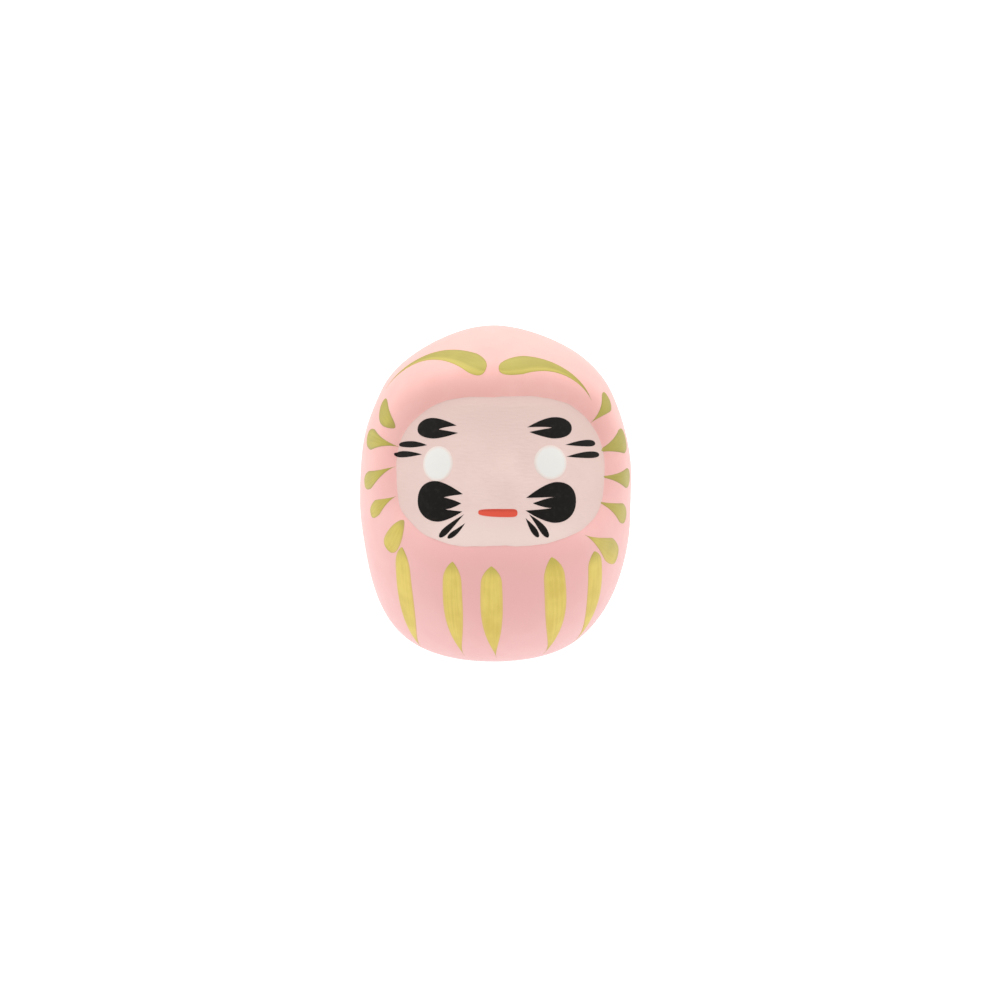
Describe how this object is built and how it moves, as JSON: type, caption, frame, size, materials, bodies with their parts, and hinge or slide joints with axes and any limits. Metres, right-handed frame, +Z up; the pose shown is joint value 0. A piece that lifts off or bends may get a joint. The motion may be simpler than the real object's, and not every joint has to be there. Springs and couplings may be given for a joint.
{
  "type": "daruma doll",
  "caption": "Roly-poly paper-pulp doll with a hooded, sunken face, painted brows, beard and gold brush strokes, kept upright by a clay weight in its base.",
  "frame": {"origin": "centre of the flat foot, on the surface that the doll stands on", "axes": "+Z up the doll's turned axis, -Y the way the face looks, +X to the right of someone facing the doll"},
  "size_m": [0.0826, 0.0818, 0.1],
  "materials": {
    "pink_shell": "matte",
    "collar_paper": "matte",
    "clay": "matte",
    "face_cream": "matte",
    "eye_white": "matte",
    "ink_black": "matte",
    "mouth_red": "satin",
    "brush_gold": "satin"
  },
  "bodies": {
    "root": {"front_shell": "pink_shell", "back_shell": "pink_shell", "seam_collar": "collar_paper", "base_weight": "clay", "face_coat": "face_cream", "left_eye": "eye_white", "right_eye": "eye_white", "mouth": "mouth_red", "left_brow": "ink_black", "right_brow": "ink_black", "left_beard": "ink_black", "right_beard": "ink_black", "left_upper_temple_stroke": "ink_black", "left_lower_temple_stroke": "ink_black", "right_upper_temple_stroke": "ink_black", "right_lower_temple_stroke": "ink_black", "left_outer_whisker": "ink_black", "left_inner_whisker": "ink_black", "right_outer_whisker": "ink_black", "right_inner_whisker": "ink_black", "left_hood_stroke": "brush_gold", "right_hood_stroke": "brush_gold", "left_side_stroke_1": "brush_gold", "left_side_stroke_2": "brush_gold", "left_side_stroke_3": "brush_gold", "left_side_stroke_4": "brush_gold", "left_side_stroke_5": "brush_gold", "right_side_stroke_1": "brush_gold", "right_side_stroke_2": "brush_gold", "right_side_stroke_3": "brush_gold", "right_side_stroke_4": "brush_gold", "right_side_stroke_5": "brush_gold", "belly_stroke_1": "brush_gold", "belly_stroke_2": "brush_gold", "belly_stroke_3": "brush_gold", "belly_stroke_4": "brush_gold", "belly_stroke_5": "brush_gold"}
  },
  "joints": []
}
